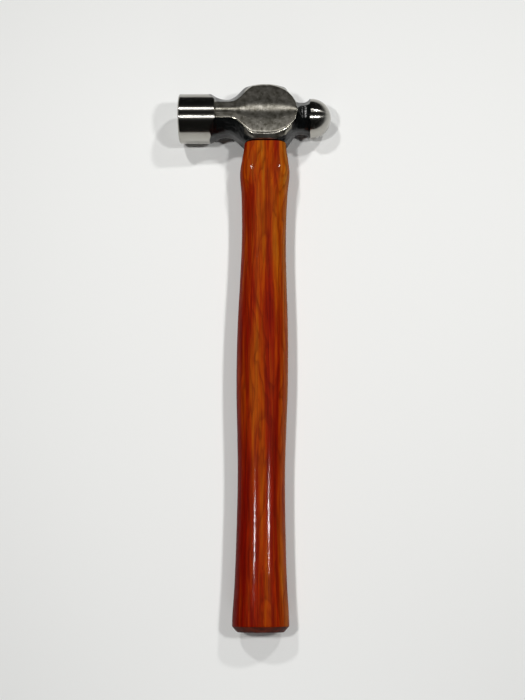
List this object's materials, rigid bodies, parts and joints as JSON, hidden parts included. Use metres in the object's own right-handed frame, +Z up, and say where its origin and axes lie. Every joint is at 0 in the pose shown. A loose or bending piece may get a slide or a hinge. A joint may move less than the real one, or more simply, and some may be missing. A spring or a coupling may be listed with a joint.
{
  "type": "ball peen hammer",
  "caption": "Ball peen hammer with a turned flat-faced poll, a polished ball, ground cheeks and a wedged hardwood handle, lying on its side.",
  "frame": {"origin": "bottom centre of the bounding box, on the bench the hammer lies on", "axes": "+Y along the handle from the butt to the head, +Z up from the bench through the upper cheek, +X from the striking face to the ball"},
  "size_m": [0.1002, 0.342, 0.0328],
  "materials": {
    "head_steel": "polished poll, ball and cheeks on a black painted forging",
    "handle_wood": "red-brown stain under gloss lacquer",
    "wedge_wood": "bare end grain",
    "wedge_steel": "bare mild steel"
  },
  "bodies": {
    "root": {"head": "head_steel", "handle": "handle_wood", "wood_wedge": "wedge_wood", "steel_wedge_poll": "wedge_steel", "steel_wedge_ball": "wedge_steel"}
  },
  "joints": []
}
